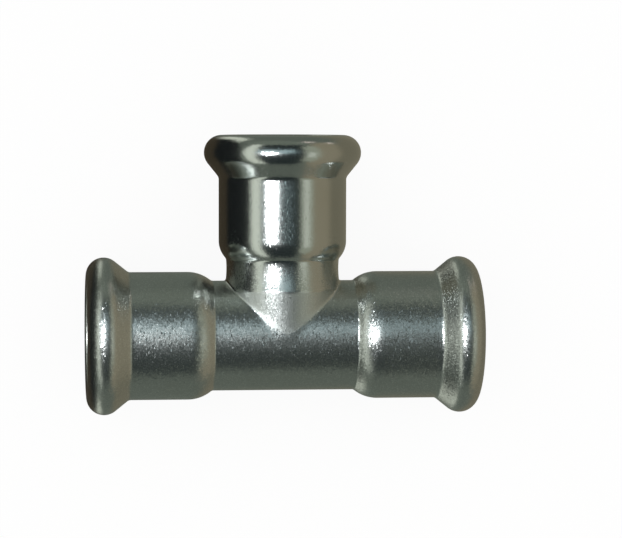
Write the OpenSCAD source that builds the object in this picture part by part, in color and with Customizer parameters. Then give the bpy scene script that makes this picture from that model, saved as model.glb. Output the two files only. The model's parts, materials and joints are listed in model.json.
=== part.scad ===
// Press-fit equal pipe tee: a one-piece formed steel body with three beaded sockets,
// each bead holding a rubber seal ring. It lies flat on its three beads, with the run
// along X, the branch along +Y and the origin under the middle of its outline.

/* [Pipe and sheet] */
// Outside diameter of the pipe that each socket takes
pipe_d = 22; // [18:0.1:28]
// Room between the pipe and the socket wall, on the radius
socket_clearance = 0.175; // [0.1:0.005:0.3]
// Thickness of the steel wall
wall = 1.5; // [1.2:0.05:1.8]

/* [Seal rings] */
// Thickness of a seal ring's round section
seal_section = 3; // [2.5:0.05:3.5]
// Gap from a seal ring to the pipe inside it and to the groove around it, on the radius
seal_clearance = 0.05; // [0.02:0.01:0.1]
// Free length in the groove on each side of the seal ring
groove_side_room = 0.5; // [0.2:0.05:0.8]

/* [Sockets] */
// Angle of the bead's inner flank to the socket axis, in degrees
flank_angle = 38.7; // [32:0.1:45]
// Distance from the mouth to where the shoulder starts
socket_depth = 20.1; // [16:0.1:24]
// Outer radius of the shoulder that closes the socket down to the tube
shoulder_r = 7.25; // [6:0.05:9]

/* [Run] */
// Length of the run from mouth to mouth
run_length = 78; // [70:0.1:96]
// Outside diameter of the tube between the two run sockets
tube_d = 21.83; // [20:0.01:24]

/* [Branch] */
// Distance from the run axis to the branch mouth
branch_reach = 39.85; // [36:0.05:48]
// Outside diameter of the branch neck at its waist
neck_d = 22.27; // [21:0.01:24]
// Height of the neck's waist above the run axis
waist_height = 13.4; // [12:0.1:15]
// Radius of the neck's hollow flare below the waist
flare_r = 18; // [14:0.5:24]
// Height above the run axis of the ridge where the flare ends
ridge_height = 9.4; // [8.5:0.1:10.5]
// How far the branch root sinks below the tube's surface at the run axis
root_inset = 0.16; // [0.1:0.01:0.3]

/* [Hidden] */
$fn = 128;

// Depth by which a line cuts into the arc that it runs on from
bite = 0.005;
// Overrun of cutting and joining shapes past the surfaces that they meet
overrun = 1;

pipe_r = pipe_d / 2;
bore_r = pipe_r + socket_clearance;
socket_r = bore_r + wall;
seal_r = pipe_r + seal_clearance + seal_section / 2;
groove_r = seal_r + seal_section / 2 + seal_clearance;
bead_r = groove_r + wall;
crown_r = seal_section / 2 + groove_side_room + wall;
crown_centre_r = bead_r - crown_r;
crown_depth = crown_r - bite;
tube_r = tube_d / 2;
waist_r = neck_d / 2;
root_r = tube_r - root_inset;
run_reach = run_length / 2;

// The frame: the lowest line of the beads is at height 0
axis_height = bead_r;
run_axis_y = -(branch_reach - bead_r) / 2;

// Radius of the flared neck at a height above the run axis, for a skin set in by inset
function neck_radius(height, inset) =
    waist_r + flare_r - sqrt(pow(flare_r + inset, 2) - pow(height - waist_height, 2));

// Depth from the mouth at which the flank meets the socket wall, for a skin set in by inset
function flank_foot(inset) =
    crown_depth
    + (crown_r - inset - bite - (socket_r - inset - crown_centre_r) * cos(flank_angle))
        / sin(flank_angle);

// Half section of a beaded socket, set in by inset: x is the radius, y the depth from the mouth
module socket_section(inset) {
    arc_r = crown_r - inset;
    chord_r = arc_r - bite;
    difference() {
        union() {
            translate([crown_centre_r, crown_depth])
                circle(r = arc_r);
            polygon([
                [0, -overrun],
                [crown_centre_r, -overrun],
                [crown_centre_r, crown_depth],
                [crown_centre_r + chord_r * cos(flank_angle), crown_depth + chord_r * sin(flank_angle)],
                [socket_r - inset, flank_foot(inset)],
                [socket_r - inset, socket_depth],
                [0, socket_depth]
            ]);
            shoulder_section(inset);
        }
        translate([0, inset - 2 * overrun - crown_r])
            square([bead_r + overrun, 2 * overrun + crown_r]);
    }
}

// Half section of the rounded shoulder behind a socket
module shoulder_section(inset) {
    intersection() {
        translate([socket_r - shoulder_r + bite, socket_depth])
            circle(r = shoulder_r - inset);
        translate([0, socket_depth - overrun])
            square([socket_r - inset, shoulder_r + overrun]);
    }
}

// A socket section turned to face outwards, with its mouth at the given reach from the centre
module placed_socket(reach, inset) {
    translate([0, reach])
        mirror([0, 1])
            socket_section(inset);
}

// Half section of the run: two sockets joined by the tube
module run_section(inset) {
    tube_reach = run_reach - socket_depth;
    for (side = [0, 1])
        mirror([0, side])
            placed_socket(run_reach, inset);
    translate([0, -tube_reach])
        square([tube_r - inset, 2 * tube_reach]);
}

// Half section of the branch: its socket on a waisted neck that flares, then tapers to the run axis
module branch_section(inset) {
    neck_top = branch_reach - socket_depth;
    ridge_r = neck_radius(ridge_height, inset);
    taper = (ridge_r - (root_r - inset)) / ridge_height;
    past_ridge = ridge_height + overrun;
    past_ridge_r = root_r - inset + taper * past_ridge;
    placed_socket(branch_reach, inset);
    difference() {
        polygon([
            [0, 0],
            [root_r - inset, 0],
            [past_ridge_r, past_ridge],
            [past_ridge_r, neck_top],
            [0, neck_top]
        ]);
        translate([waist_r + flare_r, waist_height])
            circle(r = flare_r + inset);
    }
}

// Carries a solid made about Z to the run axis, with +Z turned to +X
module on_run_axis() {
    translate([0, run_axis_y, axis_height])
        rotate([0, 90, 0])
            children();
}

// Carries a solid made about Z to the branch axis, with +Z turned to +Y
module on_branch_axis() {
    translate([0, run_axis_y, axis_height])
        rotate([-90, 0, 0])
            children();
}

// Opening in the lip that lets the pipe in, for a mouth at the given reach
module mouth_opening(reach) {
    translate([0, 0, reach - crown_depth])
        cylinder(r = bore_r, h = crown_depth + overrun);
}

// The formed steel body
module tee_body() {
    color("#9b9a94")
        difference() {
            union() {
                on_run_axis() rotate_extrude() run_section(0);
                on_branch_axis() rotate_extrude() branch_section(0);
            }
            on_run_axis() {
                rotate_extrude() run_section(wall);
                for (side = [0, 1])
                    mirror([0, 0, side])
                        mouth_opening(run_reach);
            }
            on_branch_axis() {
                rotate_extrude() branch_section(wall);
                mouth_opening(branch_reach);
            }
        }
}

// A seal ring in the groove of the bead whose mouth is at the given reach
module seal_ring(reach) {
    color("#1c1c1d")
        translate([0, 0, reach - crown_depth])
            rotate_extrude()
                translate([seal_r, 0])
                    circle(d = seal_section);
}

module left_seal_ring() {
    on_run_axis() mirror([0, 0, 1]) seal_ring(run_reach);
}

module right_seal_ring() {
    on_run_axis() seal_ring(run_reach);
}

module branch_seal_ring() {
    on_branch_axis() seal_ring(branch_reach);
}

tee_body();
left_seal_ring();
right_seal_ring();
branch_seal_ring();
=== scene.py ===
"""Dresses the press-fit pipe tee for its render and its exported model.

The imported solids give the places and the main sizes. A formed steel skin with soft edges stands
for the plain body, and moulded seal rings stand for the plain ones. The finishes, the studio and
the camera follow. Sizes are in millimetres until a mesh is made.
"""

import json
import logging
import math
from dataclasses import dataclass
from enum import Enum
from typing import Any

import bpy
import numpy as np
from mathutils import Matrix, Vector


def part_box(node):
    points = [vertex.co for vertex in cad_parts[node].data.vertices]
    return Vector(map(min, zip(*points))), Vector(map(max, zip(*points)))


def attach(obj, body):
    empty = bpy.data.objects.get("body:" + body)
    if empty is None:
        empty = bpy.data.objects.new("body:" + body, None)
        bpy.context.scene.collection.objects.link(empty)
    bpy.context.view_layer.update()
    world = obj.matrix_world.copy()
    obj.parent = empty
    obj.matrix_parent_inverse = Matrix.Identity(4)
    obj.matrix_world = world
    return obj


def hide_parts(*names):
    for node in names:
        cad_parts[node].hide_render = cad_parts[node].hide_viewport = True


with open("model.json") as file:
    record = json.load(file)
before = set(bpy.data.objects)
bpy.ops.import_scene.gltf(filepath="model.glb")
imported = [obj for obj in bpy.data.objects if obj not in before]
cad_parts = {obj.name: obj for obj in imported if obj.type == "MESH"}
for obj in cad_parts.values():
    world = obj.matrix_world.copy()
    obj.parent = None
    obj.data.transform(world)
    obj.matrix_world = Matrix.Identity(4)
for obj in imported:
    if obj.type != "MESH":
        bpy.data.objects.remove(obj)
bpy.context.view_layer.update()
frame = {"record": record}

MM = 0.001

log = logging.getLogger("pipe_tee")


def linear_rgba(code: str, level: float = 1.0) -> tuple[float, float, float, float]:
    """Turns an sRGB hex colour into linear light.

    Args:
        code: The colour, as #rrggbb.
        level: Factor on the linear light.

    Returns:
        Red, green, blue and an alpha of 1.
    """
    srgb = np.array([int(code[place : place + 2], 16) for place in (1, 3, 5)]) / 255
    light = np.where(srgb <= 0.04045, srgb / 12.92, ((srgb + 0.055) / 1.055) ** 2.4)
    return (*(float(part) for part in light * level), 1.0)


def add_node(
    tree: bpy.types.NodeTree, kind: str, inputs: dict[Any, Any] | None = None, **settings: Any
) -> bpy.types.Node:
    """Adds a node, with its settings and its inputs.

    Args:
        tree: The node tree that gets the node.
        kind: Type name of the node.
        inputs: Input sockets by name or place, each with a value or with an output to link.
        settings: Properties of the node itself.

    Returns:
        The new node.
    """
    node = tree.nodes.new(kind)
    for name, value in settings.items():
        setattr(node, name, value)
    for key, value in (inputs or {}).items():
        if isinstance(value, bpy.types.NodeSocket):
            tree.links.new(value, node.inputs[key])
        else:
            node.inputs[key].default_value = value
    return node


def new_material(name: str) -> tuple[bpy.types.Material, bpy.types.NodeTree]:
    """Makes an empty node material.

    Args:
        name: Name of the material.

    Returns:
        The material and its tree.
    """
    material = bpy.data.materials.new(name)
    material.use_nodes = True
    material.node_tree.nodes.clear()
    return material, material.node_tree


def soft_max(first: np.ndarray, second: np.ndarray, width: float) -> np.ndarray:
    """The larger of two values, with the corner where they cross rounded.

    Within the width of each other, a quarter of the width times the squared nearness is added.

    Args:
        first: Values of one line.
        second: Values of the other line.
        width: Difference at which the rounding begins.

    Returns:
        The rounded maximum.
    """
    nearness = np.clip(1 - np.abs(first - second) / width, 0, None)
    return np.maximum(first, second) + nearness**2 * width / 4


def even_steps(line: np.ndarray, count: int, turn_mm: float) -> np.ndarray:
    """Picks points along a fine line, close together where it bends.

    Each step has the same sum of length and bend, where a radian of bend counts as turn_mm.

    Args:
        line: Points in rows, with the two plane coordinates first.
        count: Number of points to pick.
        turn_mm: Length that a radian of bend counts for.

    Returns:
        The picked points, first and last included.
    """
    step = np.diff(line[:, :2], axis=0)
    heading = np.unwrap(np.arctan2(step[:, 1], step[:, 0]))
    bend = np.abs(np.diff(heading, append=heading[-1]))
    weight = np.hypot(step[:, 0], step[:, 1]) + turn_mm * bend
    travelled = np.concatenate([[0], np.cumsum(weight)])
    marks = np.linspace(0, travelled[-1], count)
    return np.stack([np.interp(marks, travelled, part) for part in line.T], axis=1)


def ring_quads(ids: np.ndarray, flip: bool) -> np.ndarray:
    """Faces of a grid of points whose columns close into a ring.

    Args:
        ids: Point numbers, columns by rows.
        flip: Whether to turn the faces round.

    Returns:
        Four point numbers for each face.
    """
    ahead = np.roll(ids, -1, axis=0)
    corners = [ids[:, :-1], ahead[:, :-1], ahead[:, 1:], ids[:, 1:]]
    return np.stack(corners[::-1] if flip else corners, axis=-1).reshape(-1, 4)


def mesh_piece(name: str, points: np.ndarray, quads: np.ndarray) -> bpy.types.Object:
    """Makes a smooth mesh object at the origin.

    Args:
        name: Name of the object.
        points: Places of the points in the part's frame, in millimetres.
        quads: Four point numbers for each face.

    Returns:
        The object, linked to the scene.
    """
    mesh = bpy.data.meshes.new(name)
    mesh.from_pydata(points * MM, [], quads.tolist())
    mesh.shade_smooth()
    mesh.update()
    piece = bpy.data.objects.new(name, mesh)
    bpy.context.scene.collection.objects.link(piece)
    return piece


class Leg(Enum):
    """A leg of the tee: its axis, the two directions across it, and whether its faces flip."""

    RIGHT = ((1, 0, 0), (0, 1, 0), (0, 0, 1), False)
    LEFT = ((-1, 0, 0), (0, 1, 0), (0, 0, 1), True)
    BRANCH = ((0, 1, 0), (1, 0, 0), (0, 0, 1), True)

    def place(self, axial: np.ndarray, radius: np.ndarray, angle: np.ndarray) -> np.ndarray:
        """Places points round the leg's axis.

        Args:
            axial: Distances from the crossing along the axis.
            radius: Distances from the axis.
            angle: Angles round the axis.

        Returns:
            The points about the crossing.
        """
        along, across, up = (np.array(direction, float) for direction in self.value[:3])
        side = np.cos(angle)[..., None] * across + np.sin(angle)[..., None] * up
        return axial[..., None] * along + radius[..., None] * side


@dataclass(frozen=True)
class TeeSizes:
    """Sizes of the formed body, about the point where its two axes cross."""

    centre: tuple[float, float, float]
    run_reach: float
    branch_reach: float
    bead_r: float
    bore_r: float
    wall: float = 1.5
    crown_r: float = 3.5
    flank_deg: float = 38.7
    socket_depth: float = 20.1
    shoulder_r: float = 7.25
    branch_socket_depth: float = 21.0
    branch_shoulder_r: float = 5.0
    tube_r: float = 10.915
    waist_r: float = 11.135
    waist_height: float = 13.4
    flare_r: float = 18.0
    ridge_height: float = 9.4
    root_inset: float = 0.16

    @classmethod
    def from_frame(cls) -> "TeeSizes":
        """Takes the place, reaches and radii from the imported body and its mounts.

        Returns:
            The sizes.
        """
        low, high = (np.array(corner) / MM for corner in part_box("tee_body"))
        bead_r = (high[2] - low[2]) / 2
        centre = ((low[0] + high[0]) / 2, low[1] + bead_r, low[2] + bead_r)
        sockets = {mount["name"]: mount for mount in frame["record"]["mounts"]}
        return cls(
            centre=tuple(float(part) for part in centre),
            run_reach=float(high[0] - low[0]) / 2,
            branch_reach=float(high[1] - centre[1]),
            bead_r=float(bead_r),
            bore_r=sockets["branch_socket"]["dims"]["r_mm"],
        )

    @property
    def socket_r(self) -> float:
        """Outer radius of a socket."""
        return self.bore_r + self.wall

    @property
    def crown_centre_r(self) -> float:
        """Distance from a leg's axis to the centre of its bead's crown."""
        return self.bead_r - self.crown_r

    def reach(self, leg: Leg) -> float:
        """Distance from the crossing to a leg's mouth."""
        return self.branch_reach if leg is Leg.BRANCH else self.run_reach

    def shoulder(self, leg: Leg) -> tuple[float, float]:
        """The round that closes a leg's socket, which is tighter on the branch.

        Args:
            leg: The leg.

        Returns:
            Its depth from the mouth and its radius.
        """
        if leg is Leg.BRANCH:
            return self.branch_socket_depth, self.branch_shoulder_r
        return self.socket_depth, self.shoulder_r


@dataclass(frozen=True)
class Skin:
    """One side of the sheet: the outer skin, or the inner one a wall's thickness within it."""

    sizes: TeeSizes
    inset: float
    foot_soft: float
    crease_soft: float
    saddle_soft: float
    ridge_soft: float = 0.12
    flare_span: float = 0.7
    saddle_trials: int = 4000
    saddle_steps: int = 2
    nudge: float = 1e-3

    @property
    def crown_r(self) -> float:
        """Radius of the bead's crown on this skin."""
        return self.sizes.crown_r - self.inset

    @property
    def tube_r(self) -> float:
        """Radius of the run's tube on this skin."""
        return self.sizes.tube_r - self.inset

    @property
    def flank_start(self) -> float:
        """Depth from the mouth at which the crown runs on into the straight flank."""
        return self.sizes.crown_r + self.crown_r * math.sin(math.radians(self.sizes.flank_deg))

    def flank(self, depth: np.ndarray) -> np.ndarray:
        """Radius of the bead's flank, a straight tangent of its crown.

        Args:
            depth: Distance from the mouth.

        Returns:
            The radius.
        """
        slant = math.radians(self.sizes.flank_deg)
        drop = self.crown_r - (depth - self.sizes.crown_r) * math.sin(slant)
        return self.sizes.crown_centre_r + drop / math.cos(slant)

    def barrel(self, leg: Leg, depth: np.ndarray) -> np.ndarray:
        """Radius of a leg's socket wall and of the quarter round that closes it.

        Args:
            leg: The leg.
            depth: Distance from the mouth.

        Returns:
            The radius.
        """
        start, shoulder_r = self.sizes.shoulder(leg)
        past = np.clip(depth - start, 0, None)
        round_r = shoulder_r - self.inset
        height = np.sqrt(np.clip(round_r**2 - past**2, 0, None))
        return self.sizes.socket_r - shoulder_r + height - np.clip(past - round_r, 0, None)

    def flare(self, height: np.ndarray) -> np.ndarray:
        """Radius of the branch neck's hollow flare, an arc about a point outside the neck.

        Args:
            height: Distance from the run's axis.

        Returns:
            The radius.
        """
        sizes = self.sizes
        span = self.flare_span * sizes.flare_r
        off = np.clip(height - sizes.waist_height, -span, span)
        return sizes.waist_r + sizes.flare_r - np.sqrt((sizes.flare_r + self.inset) ** 2 - off**2)

    def neck(self, height: np.ndarray) -> np.ndarray:
        """Radius of the branch below its socket: a taper from the run, then the flare.

        The smaller of the two is taken, with the ridge between them slightly rounded.

        Args:
            height: Distance from the run's axis.

        Returns:
            The radius.
        """
        sizes = self.sizes
        height = np.minimum(height, sizes.branch_reach - sizes.socket_depth)
        root = sizes.tube_r - sizes.root_inset - self.inset
        ridge = self.flare(np.array(sizes.ridge_height))
        taper = root + (ridge - root) * height / sizes.ridge_height
        return -soft_max(-self.flare(height), -taper, self.ridge_soft)

    def radius(self, leg: Leg, axial: np.ndarray) -> np.ndarray:
        """Radius of a leg between the crossing and its bead's crown.

        The largest of flank, barrel and core is taken, with rounded creases between them.

        Args:
            leg: The leg.
            axial: Distance from the crossing along the leg's axis.

        Returns:
            The radius.
        """
        depth = self.sizes.reach(leg) - axial
        socket = soft_max(self.flank(depth), self.barrel(leg, depth), self.foot_soft)
        core = self.neck(axial) if leg is Leg.BRANCH else np.full_like(axial, self.tube_r)
        return soft_max(socket, core, self.crease_soft)

    def saddle(self, share: np.ndarray) -> tuple[np.ndarray, np.ndarray]:
        """The line where the branch meets the right half of the run.

        On the run, at an angle from the branch's side, the height is tube_r times the cosine, and
        the line lies where the branch is as wide as the run's own depth there. The angle follows
        the sine of the share, which spreads the points evenly round the branch.

        Args:
            share: Position along the line, from -1 at the back to 1 at the front.

        Returns:
            The angles round the run, and the places of the points about the crossing.
        """
        trial = np.linspace(math.pi / 3, math.pi / 2, self.saddle_trials)
        clear = self.neck(self.tube_r * np.cos(trial)) - self.tube_r * np.sin(trial)
        apex = float(np.interp(0, -clear, trial))
        angle = apex * np.sin(share * math.pi / 2)
        y, z = self.tube_r * np.cos(angle), self.tube_r * np.sin(angle)
        x = np.sqrt(np.clip(self.neck(y) ** 2 - z**2, 0, None))
        x[[0, -1]] = 0
        return angle, np.stack([x, y, z], axis=-1)

    def soften_saddle(self, points: np.ndarray) -> np.ndarray:
        """Moves points near the saddle line onto a rounded union of the run and the branch.

        The union's level is the smaller distance to the two, less a quarter of the width times
        the squared nearness of the two distances. Each point takes a few steps down to level 0,
        along the two surface normals mixed in the same way.

        Args:
            points: Places about the crossing, on the run or on the branch.

        Returns:
            The moved points.
        """
        for _ in range(self.saddle_steps):
            x, y, z = np.moveaxis(points, -1, 0)
            run_gap = np.hypot(y, z) - self.tube_r
            run_way = np.stack([0 * x, y, z], axis=-1)
            up = np.clip(y, 0, None)
            rise = self.neck(up + self.nudge) - self.neck(up - self.nudge)
            slope = rise / (2 * self.nudge)
            side = np.hypot(x, z) - self.neck(up)
            branch_gap = np.where(y < 0, np.hypot(np.clip(side, 0, None), y), side)
            branch_way = np.stack([x, -slope * np.hypot(x, z), z], axis=-1)
            run_way /= np.linalg.norm(run_way, axis=-1, keepdims=True)
            branch_way /= np.linalg.norm(branch_way, axis=-1, keepdims=True)
            nearness = np.clip(1 - np.abs(run_gap - branch_gap) / self.saddle_soft, 0, None)
            level = np.minimum(run_gap, branch_gap) - nearness**2 * self.saddle_soft / 4
            run_part = np.where(run_gap < branch_gap, 1 - nearness / 2, nearness / 2)[..., None]
            way = run_part * run_way + (1 - run_part) * branch_way
            move = np.where(nearness > 0, level, 0) / (way**2).sum(axis=-1)
            points = points - move[..., None] * way
        return points


@dataclass(frozen=True)
class Facets:
    """Small facets in a surface, each tilted at random: most by little, and a few by much.

    A facet's tilt is a random vector between low and low plus spread. It is scaled by calm plus
    wild times a random value to the given power, and by its share at the place.
    """

    size_mm: float
    stretch: float
    calm: float
    wild: float
    power: float
    low: tuple[float, float, float]
    spread: tuple[float, float, float]
    turn: tuple[float, float, float] = (0.2, 0.3, 0.35)

    def tilt(
        self,
        tree: bpy.types.NodeTree,
        place: bpy.types.NodeSocket,
        share: bpy.types.NodeSocket,
    ) -> tuple[bpy.types.NodeSocket, bpy.types.NodeSocket]:
        """Adds the facets to a material.

        Args:
            tree: The material's tree.
            place: Output that gives Object coordinates.
            share: Output that says how strong the facets are at a place.

        Returns:
            Outputs with the vector to add to the surface normal, and with the random value to
            the given power.
        """
        turned = add_node(
            tree,
            "ShaderNodeMapping",
            {"Vector": place, "Rotation": self.turn, "Scale": (1, 1 / self.stretch, 1)},
        ).outputs["Vector"]
        cell = add_node(
            tree, "ShaderNodeTexVoronoi", {"Vector": turned, "Scale": 1 / (self.size_mm * MM)}
        ).outputs["Position"]
        chance = add_node(tree, "ShaderNodeTexWhiteNoise", {"Vector": cell}).outputs
        rare = add_node(
            tree, "ShaderNodeMath", {0: chance["Value"], 1: self.power}, operation="POWER"
        ).outputs["Value"]
        base = add_node(
            tree, "ShaderNodeMath", {0: share, 1: self.calm}, operation="MULTIPLY"
        ).outputs["Value"]
        amount = add_node(
            tree, "ShaderNodeMath", {0: rare, 1: self.wild, 2: base}, operation="MULTIPLY_ADD"
        ).outputs["Value"]
        amount = add_node(
            tree, "ShaderNodeMath", {0: amount, 1: share}, operation="MULTIPLY"
        ).outputs["Value"]
        way = add_node(
            tree,
            "ShaderNodeVectorMath",
            {0: chance["Color"], 1: self.spread, 2: self.low},
            operation="MULTIPLY_ADD",
        ).outputs["Vector"]
        vector = add_node(
            tree, "ShaderNodeVectorMath", {0: way, "Scale": amount}, operation="SCALE"
        ).outputs["Vector"]
        return vector, rare


@dataclass(frozen=True)
class SteelFinish:
    """Pickled stainless steel: a satin grey with fine bright grain and short handling marks."""

    pale: str = "#C3C7C4"
    dull: str = "#BBBEB9"
    inside: str = "#A9A59B"
    roughness: float = 0.18
    grained_rough: float = 0.115
    stretched_rough: float = 0.19
    inside_rough: float = 0.1
    smooth_grain: float = 0.5
    cloud_mm: float = 9.0
    ripple_mm: float = 2.6
    ripple_depth_mm: float = 0.006
    # Real crystals are about 0.05 mm across and are drawn larger, so that they show.
    # They and the marks lean a little to one side, matched to the photograph's bright specks.
    grain: Facets = Facets(
        size_mm=0.2,
        stretch=1.0,
        calm=0.12,
        wild=0.2,
        power=4.0,
        low=(-0.42, -0.5, -0.3),
        spread=(0.6, 1.0, 0.6),
    )
    marks: Facets = Facets(
        size_mm=0.15,
        stretch=3.5,
        calm=0.0,
        wild=0.7,
        power=6.0,
        low=(-0.35, -0.45, -0.2),
        spread=(0.35, 0.9, 0.4),
    )
    glint: float = 0.25

    def material(self) -> bpy.types.Material:
        """Builds the material.

        Pickling bares the metal's crystals, whose faces tilt by a few degrees, and handling adds
        short marks. Both break a mirrored panel's edge up into bright and dark specks. The inside
        of the tube is duller.

        Returns:
            The material.
        """
        material, tree = new_material("pickled_stainless_steel")
        place = add_node(tree, "ShaderNodeTexCoord").outputs["Object"]
        inside, grained, stretched = (
            add_node(tree, "ShaderNodeAttribute", attribute_name=name).outputs["Fac"]
            for name in ("inside", "grained", "stretched")
        )
        cloud = add_node(
            tree,
            "ShaderNodeTexNoise",
            {"Vector": place, "Scale": 1 / (self.cloud_mm * MM), "Detail": 3.0},
        ).outputs["Fac"]
        ripple = add_node(
            tree,
            "ShaderNodeTexNoise",
            {"Vector": place, "Scale": 1 / (self.ripple_mm * MM), "Detail": 2.0},
        ).outputs["Fac"]
        tone = add_node(
            tree,
            "ShaderNodeMixRGB",
            {"Fac": cloud, "Color1": linear_rgba(self.dull), "Color2": linear_rgba(self.pale)},
        ).outputs["Color"]
        shade = add_node(
            tree,
            "ShaderNodeMixRGB",
            {"Fac": inside, "Color1": tone, "Color2": linear_rgba(self.inside)},
        ).outputs["Color"]
        rough = self.roughness
        for place_share, more in (
            (grained, self.grained_rough),
            (stretched, self.stretched_rough),
            (inside, self.inside_rough),
        ):
            rough = add_node(
                tree,
                "ShaderNodeMath",
                {0: place_share, 1: more, 2: rough},
                operation="MULTIPLY_ADD",
            ).outputs["Value"]
        normal = add_node(
            tree,
            "ShaderNodeBump",
            {"Height": ripple, "Strength": 1.0, "Distance": self.ripple_depth_mm * MM},
        ).outputs["Normal"]
        share = add_node(
            tree,
            "ShaderNodeMath",
            {0: grained, 1: 1 - self.smooth_grain, 2: self.smooth_grain},
            operation="MULTIPLY_ADD",
        ).outputs["Value"]
        grain, bright = self.grain.tilt(tree, place, share)
        marks, _ = self.marks.tilt(tree, place, share)
        for tilt in (grain, marks):
            normal = add_node(
                tree, "ShaderNodeVectorMath", {0: normal, 1: tilt}, operation="ADD"
            ).outputs["Vector"]
        normal = add_node(
            tree, "ShaderNodeVectorMath", {0: normal}, operation="NORMALIZE"
        ).outputs["Vector"]
        glint = add_node(
            tree, "ShaderNodeMath", {0: grained, 1: self.glint}, operation="MULTIPLY"
        ).outputs["Value"]
        lift = add_node(
            tree,
            "ShaderNodeMath",
            {0: bright, 1: 1 / (self.grain.power + 1)},
            operation="SUBTRACT",
        ).outputs["Value"]
        factor = add_node(
            tree, "ShaderNodeMath", {0: lift, 1: glint, 2: 1.0}, operation="MULTIPLY_ADD"
        ).outputs["Value"]
        speckled = add_node(
            tree, "ShaderNodeVectorMath", {0: shade, "Scale": factor}, operation="SCALE"
        ).outputs["Vector"]
        shader = add_node(
            tree,
            "ShaderNodeBsdfPrincipled",
            {"Base Color": speckled, "Metallic": 1.0, "Roughness": rough, "Normal": normal},
        )
        add_node(tree, "ShaderNodeOutputMaterial", {"Surface": shader.outputs["BSDF"]})
        return material


@dataclass(frozen=True)
class RubberFinish:
    """Moulded EPDM rubber: matt black with a faint grey bloom and a fine mould grain."""

    black: str = "#1C1C1D"
    bloom: str = "#2C2B2A"
    roughness: float = 0.5
    bloom_rough: float = 0.3
    bloom_mm: float = 5.0
    grain_mm: float = 0.25
    grain_depth_mm: float = 0.02

    def material(self) -> bpy.types.Material:
        """Builds the material. Bloom dulls it in patches, and the mould's grain breaks its gloss.

        Returns:
            The material.
        """
        material, tree = new_material("moulded_epdm_rubber")
        place = add_node(tree, "ShaderNodeTexCoord").outputs["Object"]
        bloom = add_node(
            tree,
            "ShaderNodeTexNoise",
            {"Vector": place, "Scale": 1 / (self.bloom_mm * MM), "Detail": 4.0},
        ).outputs["Fac"]
        grain = add_node(
            tree,
            "ShaderNodeTexNoise",
            {"Vector": place, "Scale": 1 / (self.grain_mm * MM), "Detail": 2.0},
        ).outputs["Fac"]
        shade = add_node(
            tree,
            "ShaderNodeMixRGB",
            {"Fac": bloom, "Color1": linear_rgba(self.black), "Color2": linear_rgba(self.bloom)},
        ).outputs["Color"]
        rough = add_node(
            tree,
            "ShaderNodeMath",
            {0: bloom, 1: self.bloom_rough, 2: self.roughness - self.bloom_rough / 2},
            operation="MULTIPLY_ADD",
        ).outputs["Value"]
        bump = add_node(
            tree,
            "ShaderNodeBump",
            {"Height": grain, "Strength": 1.0, "Distance": self.grain_depth_mm * MM},
        ).outputs["Normal"]
        shader = add_node(
            tree,
            "ShaderNodeBsdfPrincipled",
            {"Base Color": shade, "Roughness": rough, "Normal": bump},
        )
        add_node(tree, "ShaderNodeOutputMaterial", {"Surface": shader.outputs["BSDF"]})
        return material


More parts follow.
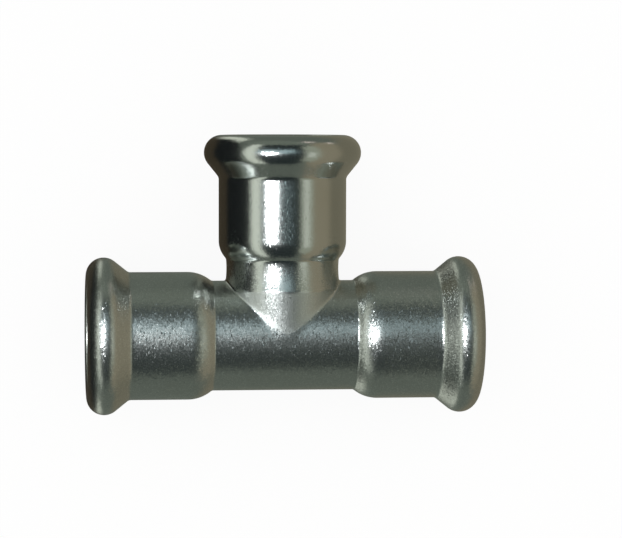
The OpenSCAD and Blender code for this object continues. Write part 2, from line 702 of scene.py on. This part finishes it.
@dataclass(frozen=True)
class FormedBody:
    """The steel body, formed from one tube: three beaded sockets on a run and its drawn branch."""

    sizes: TeeSizes
    finish: SteelFinish
    saddle_columns: int = 81
    far_columns: int = 63
    skirt_rows: int = 22
    section_rows: int = 150
    run_skirt_end: float = 12.6
    branch_skirt_end: float = 12.2
    lip_edge_r: float = 0.55
    neck_top: float = 14.6
    neck_grain: float = 0.5
    drawn_grain: float = 0.45
    wear_fade: float = 0.6
    turn_mm: float = 14.0
    line_steps: int = 3000
    skirt_steps: int = 2000
    arc_steps: int = 200
    edge_steps: int = 40
    strip_share: float = 0.5
    strip_soft: float = 0.4

    @property
    def outer(self) -> Skin:
        """The skin that shows."""
        return Skin(self.sizes, 0.0, foot_soft=0.35, crease_soft=0.25, saddle_soft=0.5)

    @property
    def inner(self) -> Skin:
        """The skin towards the water."""
        return Skin(self.sizes, self.sizes.wall, foot_soft=1.2, crease_soft=0.9, saddle_soft=2.0)

    def skirt_end(self, leg: Leg) -> float:
        """Distance from the crossing at which a leg's skirt ends and its section starts."""
        return self.branch_skirt_end if leg is Leg.BRANCH else self.run_skirt_end

    def section(self, leg: Leg) -> np.ndarray:
        """Section of a leg's wall from the outer skirt over the lip to the inner skirt.

        In depth from the mouth and radius: the outer skin, the crown's arc, the flat lip, its
        rounded edges with the mouth between them, the groove's arc, and the inner skin.

        Args:
            leg: The leg.

        Returns:
            Rows of distance from the crossing, radius and inner share, from 0 outside to 1 inside.
        """
        sizes, edge = self.sizes, self.lip_edge_r
        reach, end = sizes.reach(leg), self.skirt_end(leg)
        turn = np.linspace(math.radians(sizes.flank_deg), -math.pi / 2, self.arc_steps)
        quarter = np.linspace(0, math.pi / 2, self.edge_steps)
        out_depth = np.linspace(reach - end, self.outer.flank_start, self.line_steps)
        in_depth = np.linspace(self.inner.flank_start, reach - end, self.line_steps)
        crown, groove = (
            np.stack([sizes.crown_r + skin.crown_r * np.sin(turn),
                      sizes.crown_centre_r + skin.crown_r * np.cos(turn)], axis=1)
            for skin in (self.outer, self.inner)
        )
        lip_edge = np.stack([edge - edge * np.cos(quarter),
                             sizes.bore_r + edge - edge * np.sin(quarter)], axis=1)
        mouth_edge = np.stack([sizes.wall - edge + edge * np.sin(quarter),
                               sizes.bore_r + edge - edge * np.cos(quarter)], axis=1)
        outside = np.stack([out_depth, self.outer.radius(leg, reach - out_depth)], axis=1)
        within = np.stack([in_depth, self.inner.radius(leg, reach - in_depth)], axis=1)
        front = np.concatenate([outside[:-1], crown])
        line = np.concatenate([front, lip_edge, mouth_edge, groove[::-1], within[1:]])
        lip_start = len(front)
        lip_end = lip_start + len(lip_edge) + len(mouth_edge)
        share = np.interp(np.arange(len(line)), [lip_start, lip_end], [0.0, 1.0])
        return even_steps(np.stack([reach - line[:, 0], line[:, 1], share], axis=1),
                          self.section_rows, self.turn_mm)

    def skirt(self, leg: Leg, skin: Skin, start: np.ndarray) -> np.ndarray:
        """Distances along a leg of the rows between the saddle line and its section.

        The rows are rings at set distances. A ring that would lie behind the saddle line runs
        close along it instead, as the rounded maximum of its own distance and the line's.

        Args:
            leg: The leg.
            skin: The skin.
            start: Distance of the saddle line for each column.

        Returns:
            Distances, columns by rows, from the line up to just before the section.
        """
        end = self.skirt_end(leg)
        fine = np.linspace(start.min(), end, self.skirt_steps)
        line = np.stack([fine, skin.radius(leg, fine)], axis=1)
        rings = even_steps(line, self.skirt_rows + 1, self.turn_mm)[:-1, 0]
        room = end - start.max()
        strip = self.strip_share * room * np.arange(self.skirt_rows) / self.skirt_rows
        axial = soft_max(rings[None, :], start[:, None] + strip, self.strip_soft * room)
        axial[:, 0] = start
        return axial

    def columns(self, leg: Leg, skin: Skin) -> tuple[np.ndarray, np.ndarray]:
        """Angles of a leg's columns, and where the saddle line starts each of them.

        A run leg has the saddle's columns and then those of its far side, which start in the
        plane between the two run legs. The branch has the saddle line of both run legs.

        Args:
            leg: The leg.
            skin: The skin.

        Returns:
            Angles round the leg's axis, and distances along it.
        """
        angle, line = skin.saddle(np.linspace(-1, 1, self.saddle_columns))
        if leg is Leg.BRANCH:
            right = np.arctan2(line[:, 2], line[:, 0])
            around = np.concatenate([right, math.pi - right[-2:0:-1]])
            return around, np.concatenate([line[:, 1], line[-2:0:-1, 1]])
        far = np.linspace(angle[-1], 2 * math.pi - angle[-1], self.far_columns + 2)[1:-1]
        return np.concatenate([angle, far]), np.concatenate([line[:, 0], 0 * far])

    def leg_grid(self, leg: Leg) -> tuple[np.ndarray, np.ndarray]:
        """Points of one leg, from the saddle line outside to the saddle line inside.

        Args:
            leg: The leg.

        Returns:
            Places about the crossing, columns by rows, and the inner share of each row.
        """
        out_angle, out_start = self.columns(leg, self.outer)
        in_angle, in_start = self.columns(leg, self.inner)
        out_axial = self.skirt(leg, self.outer, out_start)
        in_axial = self.skirt(leg, self.inner, in_start)[:, ::-1]
        section = self.section(leg)
        sheet = np.broadcast_to(section[None], (len(out_angle), *section.shape))
        axial = np.concatenate([out_axial, sheet[..., 0], in_axial], axis=1)
        radius = np.concatenate(
            [self.outer.radius(leg, out_axial), sheet[..., 1], self.inner.radius(leg, in_axial)],
            axis=1,
        )
        rows = self.skirt_rows
        share = np.concatenate([np.zeros(rows), section[:, 2], np.ones(rows)])
        angle = out_angle[:, None] * (1 - share) + in_angle[:, None] * share
        points = leg.place(axial, radius, angle)
        points[:, :rows] = self.outer.soften_saddle(points[:, :rows])
        points[:, -rows:] = self.inner.soften_saddle(points[:, -rows:])
        return points, np.broadcast_to(share, angle.shape)

    def wear(self, leg: Leg, points: np.ndarray) -> dict[str, np.ndarray]:
        """How grained and how stretched the sheet is at points of a leg.

        The run is grained, the branch's neck less so, and the branch's socket is smooth. Drawing
        the branch out of the run stretched the sheet below the ridge. Each fades over a short
        length.

        Args:
            leg: The leg.
            points: Places about the crossing.

        Returns:
            Values from 0 to 1 by attribute name.
        """
        if leg is not Leg.BRANCH:
            return {"grained": np.ones(len(points)), "stretched": np.zeros(len(points))}
        necked, stretched = (
            np.clip((top - points[:, 1]) / self.wear_fade, 0, 1)
            for top in (self.neck_top, self.sizes.ridge_height)
        )
        grained = np.maximum(self.neck_grain * necked, self.drawn_grain * stretched)
        return {"grained": grained, "stretched": stretched}

    def build(self) -> bpy.types.Object:
        """Sews the three legs along the saddle lines into one closed sheet.

        Returns:
            The body, with attributes for its inside and for where it is grained or stretched.
        """
        grids, ids, used = [], {}, 0
        marks = {"inside": [], "grained": [], "stretched": []}
        for leg in Leg:
            points, share = self.leg_grid(leg)
            grids.append(points.reshape(-1, 3))
            marks["inside"].append(share.reshape(-1))
            for name, values in self.wear(leg, grids[-1]).items():
                marks[name].append(values)
            ids[leg] = used + np.arange(share.size).reshape(share.shape)
            used += share.size
        saddle = np.arange(self.saddle_columns)
        mirrored = -saddle % len(ids[Leg.BRANCH])
        for row in (0, -1):
            ids[Leg.RIGHT][: self.saddle_columns, row] = ids[Leg.BRANCH][saddle, row]
            ids[Leg.LEFT][: self.saddle_columns, row] = ids[Leg.BRANCH][mirrored, row]
            ids[Leg.LEFT][self.saddle_columns :, row] = ids[Leg.RIGHT][self.saddle_columns :, row]
        quads = np.concatenate([ring_quads(ids[leg], leg.value[3]) for leg in Leg])
        kept, quads = np.unique(quads, return_inverse=True)
        points = np.concatenate(grids)[kept] + np.array(self.sizes.centre)
        piece = mesh_piece("formed_steel_body", points, quads.reshape(-1, 4))
        for name, values in marks.items():
            attribute = piece.data.attributes.new(name, "FLOAT", "POINT")
            attribute.data.foreach_set("value", np.concatenate(values)[kept])
        return piece

    def dress(self) -> bpy.types.Object:
        """Builds the body and gives it its finish and its place in the frame.

        Returns:
            The body.
        """
        piece = self.build()
        piece.data.materials.append(self.finish.material())
        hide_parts("tee_body")
        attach(piece, "root")
        return piece


@dataclass(frozen=True)
class SealRings:
    """The three rubber rings, each lying in the groove of a bead."""

    finish: RubberFinish
    around: int = 192
    section: int = 72
    flash_height: float = 0.035
    flash_width: float = 0.09

    def build(self, node: str) -> bpy.types.Object:
        """Makes one ring with the fine seam that its two-part mould leaves.

        The section's radius is half its thickness, raised by a narrow bell curve at the inner
        and outer seam, and it is carried round the axis.

        Args:
            node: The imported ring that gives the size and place.

        Returns:
            The ring.
        """
        low, high = (np.array(corner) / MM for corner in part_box(node))
        axis = int(np.argmin(high - low))
        section_r = (high - low)[axis] / 2
        ring_r = (high - low).max() / 2 - section_r
        turn = np.linspace(0, 2 * math.pi, self.around, endpoint=False)[:, None]
        swing = np.linspace(0, 2 * math.pi, self.section + 1)[None, :]
        off_seam = np.sin(swing) * section_r / self.flash_width
        grown = section_r + self.flash_height * np.exp(-(off_seam**2))
        radius = ring_r + (grown - self.flash_height) * np.cos(swing)
        height = (grown - self.flash_height) * np.sin(swing)
        across = [place for place in range(3) if place != axis]
        points = np.empty((self.around, self.section + 1, 3))
        points[..., axis] = height
        points[..., across[0]] = radius * np.cos(turn)
        points[..., across[1]] = radius * np.sin(turn)
        ids = np.arange(self.around * (self.section + 1)).reshape(self.around, -1)
        ids[:, -1] = ids[:, 0]
        # Across the Y axis the two directions follow each other the other way round.
        kept, quads = np.unique(ring_quads(ids, flip=axis == 1), return_inverse=True)
        points = points.reshape(-1, 3)[kept] + (low + high) / 2
        name = node.replace("_seal_ring", "_rubber_seal")
        return mesh_piece(name, points, quads.reshape(-1, 4))

    def dress(self) -> list[bpy.types.Object]:
        """Builds the rings and gives them their finish and their place in the frame.

        Returns:
            The rings.
        """
        material = self.finish.material()
        rings = []
        for node in ("left_seal_ring", "right_seal_ring", "branch_seal_ring"):
            ring = self.build(node)
            ring.data.materials.append(material)
            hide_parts(node)
            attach(ring, "root")
            rings.append(ring)
        return rings


@dataclass(frozen=True)
class TentPanel:
    """A panel of the light tent: its range of directions in degrees, and its light."""

    name: str
    azimuth: tuple[float, float]
    rise: tuple[float, float]
    corner: float
    soft: float
    colour: str
    level: float = 1.0
    fade: float = 0.0

    def cover(self, azimuth: np.ndarray, rise: np.ndarray) -> np.ndarray:
        """How much of each direction the panel covers.

        The cover follows the distance to a rectangle with round corners, and goes from 0 to 1
        smoothly within the soft width. With a fade, it falls off outside as an exponential.

        Args:
            azimuth: Azimuths of the directions.
            rise: Rises of the directions.

        Returns:
            Cover from 0 to 1.
        """
        half_width = (self.azimuth[1] - self.azimuth[0]) / 2
        half_height = (self.rise[1] - self.rise[0]) / 2
        corner = min(self.corner, half_width, half_height)
        beside = np.abs(azimuth - sum(self.azimuth) / 2) - half_width + corner
        above = np.abs(rise - sum(self.rise) / 2) - half_height + corner
        outside = np.hypot(np.clip(beside, 0, None), np.clip(above, 0, None))
        distance = outside + np.minimum(np.maximum(beside, above), 0) - corner
        if self.fade:
            return np.exp(-np.clip(distance, 0, None) / self.fade)
        edge = np.clip(0.5 - distance / self.soft, 0, 1)
        return edge**2 * (3 - 2 * edge)


@dataclass(frozen=True)
class LightTent:
    """The tent of grey and white panels over the part, which its metal mirrors.

    Its panels are fitted to what the photographed steel mirrors, and light nothing else.
    Directions are about the part: azimuth from straight up towards +X, rise towards +Y.
    """

    centre: tuple[float, float, float]
    radius: float = 500.0
    box_radius: float = 490.0
    columns: int = 241
    rows: int = 121
    box_steps: int = 40
    lining: str = "#70776F"
    # Each lies over the ones before: azimuths, rises, corner, soft edge, colour, level, fade.
    panels: tuple[TentPanel, ...] = (
        TentPanel("front_shade", (-50, 30), (-68, 61), 10, 12, "#2F3738"),
        TentPanel("top_lining", (-100, 60), (58, 90), 20, 10, "#7F877D"),
        TentPanel("left_frame", (-173, -92), (-60, 63), 50, 5, "#C4C8BC", 1.6),
        TentPanel("left_shade", (-170, -66), (-52, 55), 50, 9, "#1F2223"),
        TentPanel("left_ground", (-180, -124), (-32, 32), 20, 14, "#443D32"),
        TentPanel("right_wall", (44, 100), (-64, 60), 20, 14, "#9F9783"),
        TentPanel("right_ground", (88, 172), (-52, 48), 30, 20, "#85806F"),
        TentPanel("right_strip", (27, 51), (-44, 48), 10, 9, "#AEB3A4"),
        TentPanel("right_core", (33, 43), (-18, 10), 5, 10, "#E6EBE0"),
        TentPanel("box_spill", (-40, 9), (9, 24), 6, 0, "#CDE8F0", 0.75, 4.0),
        TentPanel("left_strip", (-64, -45), (-60, 56), 6, 9, "#F0F6EA", 1.1),
        TentPanel("top_lamp", (64, 82), (64, 72), 3, 3, "#F6E6E0", 1.5),
        TentPanel("side_lamp", (92, 102), (47, 53), 3, 3, "#F6E6E0", 1.5),
    )
    box: TentPanel = TentPanel("main_box", (-33, -16), (0, 10), 8, 5, "#F9FBFF", 33.0)

    def build(self) -> list[bpy.types.Object]:
        """Makes the tent, a ball round the part, and the bright box, a window just within it.

        Returns:
            The two, which only mirrored rays meet. Light is aimed from the box alone, because it
            outshines the cloth by far.
        """
        around = np.linspace(-180, 180, self.columns)
        upward = np.linspace(-90, 90, self.rows)
        across, along = (
            np.linspace(low - self.box.soft, high + self.box.soft, self.box_steps)
            for low, high in (self.box.azimuth, self.box.rise)
        )
        tent = self.shell("light_tent", around, upward, self.radius, 1.0)
        box = self.shell("light_box", across, along, self.box_radius, self.box.level)
        tent.active_material.cycles.emission_sampling = "NONE"
        box.active_material.cycles.emission_sampling = "FRONT"
        return [tent, box]

    def light(self, azimuth: np.ndarray, rise: np.ndarray) -> np.ndarray:
        """Light from directions: the lining's, under each panel in turn and then the box.

        Args:
            azimuth: Azimuths of the directions.
            rise: Rises of the directions.

        Returns:
            Linear red, green, blue and alpha for each direction.
        """
        light = np.array(linear_rgba(self.lining))
        for panel in (*self.panels, self.box):
            cover = panel.cover(azimuth, rise)[..., None]
            light = light * (1 - cover) + cover * np.array(linear_rgba(panel.colour, panel.level))
        return light

    def shell(
        self, name: str, azimuth: np.ndarray, rise: np.ndarray, radius: float, level: float
    ) -> bpy.types.Object:
        """Makes a lit part of a ball about the part, facing inwards.

        Args:
            name: Name of the object.
            azimuth: Azimuths of its columns.
            rise: Rises of its rows.
            radius: Radius of the ball.
            level: Strength of its light, which its stored colours are divided by.

        Returns:
            The shell.
        """
        azimuth, rise = azimuth[:, None], rise[None, :]
        turn, lift = np.radians(azimuth), np.radians(rise)
        way = np.stack([np.cos(lift) * np.sin(turn), np.sin(lift) + 0 * turn,
                        np.cos(lift) * np.cos(turn)], axis=-1)
        points = np.array(self.centre) + way * radius
        ids = np.arange(way.shape[0] * way.shape[1]).reshape(way.shape[:2])
        open_quads = ring_quads(ids, flip=True)[: -(ids.shape[1] - 1)]
        shell = mesh_piece(name, points.reshape(-1, 3), open_quads)
        glow = shell.data.attributes.new("glow", "FLOAT_COLOR", "POINT")
        glow.data.foreach_set("color", (self.light(azimuth, rise) / level).reshape(-1))
        shell.data.materials.append(self.material(f"{name}_cloth", level))
        for rays in ("camera", "diffuse", "shadow", "transmission", "volume_scatter"):
            setattr(shell, f"visible_{rays}", False)
        return shell

    def material(self, name: str, level: float) -> bpy.types.Material:
        """Lit cloth: gives off the light of its panel, evenly to all sides.

        Args:
            name: Name of the material.
            level: Factor on the stored colours.

        Returns:
            The material.
        """
        material, tree = new_material(name)
        glow = add_node(tree, "ShaderNodeAttribute", attribute_name="glow").outputs["Color"]
        light = add_node(tree, "ShaderNodeEmission", {"Color": glow, "Strength": level})
        add_node(tree, "ShaderNodeOutputMaterial", {"Surface": light.outputs["Emission"]})
        return material


@dataclass(frozen=True)
class Studio:
    """Floor, tent, lamp, world and camera round the part."""

    sizes: TeeSizes
    floor_mm: float = 3000.0
    floor_colour: str = "#F6F6F5"
    paper_share: float = 0.92
    sky_colour: str = "#F6F6F5"
    sky_level: float = 1.0
    lamp_place: tuple[float, float, float] = (-450.0, 120.0, 1100.0)
    lamp_size: float = 900.0
    lamp_watts: float = 2.0
    camera_place: tuple[float, float, float] = (-52.917, 45.287, 551.100)
    camera_turn: tuple[float, float, float] = (-3.317, -6.075, 0.101)
    lens: float = 161.249
    sensor: float = 36.0
    near_mm: float = 10.0

    def floor(self) -> bpy.types.Object:
        """Makes the plain pale floor, a flat square under the part.

        To the eye it is mostly white paper, as in the photograph, and the rest is card that takes
        the part's shadow and gives back the light.

        Returns:
            The floor.
        """
        half = self.floor_mm / 2
        signs = np.array([[-1, -1, 0], [1, -1, 0], [1, 1, 0], [-1, 1, 0]])
        corners = half * signs
        floor = mesh_piece("studio_floor", corners, np.array([[0, 1, 2, 3]]))
        material, tree = new_material("matt_white_card")
        card = add_node(
            tree, "ShaderNodeBsdfDiffuse", {"Color": linear_rgba(self.floor_colour)}
        ).outputs["BSDF"]
        paper = add_node(tree, "ShaderNodeEmission", {"Color": (1, 1, 1, 1)}).outputs["Emission"]
        seen = self.seen(tree)
        share = add_node(
            tree, "ShaderNodeMath", {0: seen, 1: self.paper_share}, operation="MULTIPLY"
        ).outputs["Value"]
        mixed = add_node(tree, "ShaderNodeMixShader", {0: share, 1: card, 2: paper})
        add_node(tree, "ShaderNodeOutputMaterial", {"Surface": mixed.outputs["Shader"]})
        floor.data.materials.append(material)
        # The photographed steel mirrors a dark ground, which the tent gives, and no white floor.
        floor.visible_glossy = False
        return floor

    def seen(self, tree: bpy.types.NodeTree) -> bpy.types.NodeSocket:
        """Tells rays that see a surface from those that only carry its light.

        Args:
            tree: The material's tree.

        Returns:
            Output that is 1 for the eye, a mirror or glass, and 0 for the rest.
        """
        rays = add_node(tree, "ShaderNodeLightPath").outputs
        mirrored = add_node(
            tree,
            "ShaderNodeMath",
            {0: rays["Is Camera Ray"], 1: rays["Is Glossy Ray"]},
            operation="MAXIMUM",
        ).outputs["Value"]
        return add_node(
            tree,
            "ShaderNodeMath",
            {0: mirrored, 1: rays["Is Transmission Ray"]},
            operation="MAXIMUM",
        ).outputs["Value"]

    def sky(self) -> None:
        """Sets an even pale world."""
        world = bpy.data.worlds.new("studio_air")
        world.use_nodes = True
        world.node_tree.nodes.clear()
        sky = add_node(
            world.node_tree,
            "ShaderNodeBackground",
            {"Color": linear_rgba(self.sky_colour), "Strength": self.sky_level},
        )
        add_node(world.node_tree, "ShaderNodeOutputWorld", {"Surface": sky.outputs["Background"]})
        bpy.context.scene.world = world

    def lamp(self) -> None:
        """Hangs one wide soft lamp over the part. The metal mirrors the tent instead of it."""
        data = bpy.data.lights.new("soft_lamp", "AREA")
        data.shape = "SQUARE"
        data.size = self.lamp_size * MM
        data.energy = self.lamp_watts
        lamp = bpy.data.objects.new("soft_lamp", data)
        place = np.array(self.lamp_place)
        lamp.location = (place + np.array(self.sizes.centre)) * MM
        lamp.rotation_euler = (
            math.atan2(-place[1], math.hypot(place[0], place[2])),
            math.atan2(place[0], place[2]),
            0,
        )
        lamp.visible_glossy = False
        bpy.context.scene.collection.objects.link(lamp)

    def camera(self) -> None:
        """Sets the camera at the photograph's place, turned about Z, X and then Y."""
        data = bpy.data.cameras.new("photo_camera")
        data.sensor_fit = "HORIZONTAL"
        data.sensor_width = self.sensor
        data.lens = self.lens
        data.clip_start = self.near_mm * MM
        camera = bpy.data.objects.new("photo_camera", data)
        camera.location = (np.array(self.camera_place) + np.array(self.sizes.centre)) * MM
        camera.rotation_mode = "ZXY"
        camera.rotation_euler = [math.radians(turn) for turn in self.camera_turn]
        bpy.context.scene.collection.objects.link(camera)
        bpy.context.scene.camera = camera

    def set_up(self) -> None:
        """Puts the studio together."""
        self.floor()
        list(LightTent(self.sizes.centre).build())
        self.sky()
        self.lamp()
        self.camera()
        bpy.context.scene.view_settings.view_transform = "Standard"


def main() -> None:
    """Builds the part's pieces and then the studio."""
    logging.basicConfig(level=logging.INFO, format="%(name)s: %(message)s")
    sizes = TeeSizes.from_frame()
    pieces = [FormedBody(sizes, SteelFinish()).dress()]
    pieces += SealRings(RubberFinish()).dress()
    for piece in pieces:
        log.info("%s: %d faces", piece.name, len(piece.data.polygons))
    Studio(sizes).set_up()


if __name__ == "__main__":
    main()
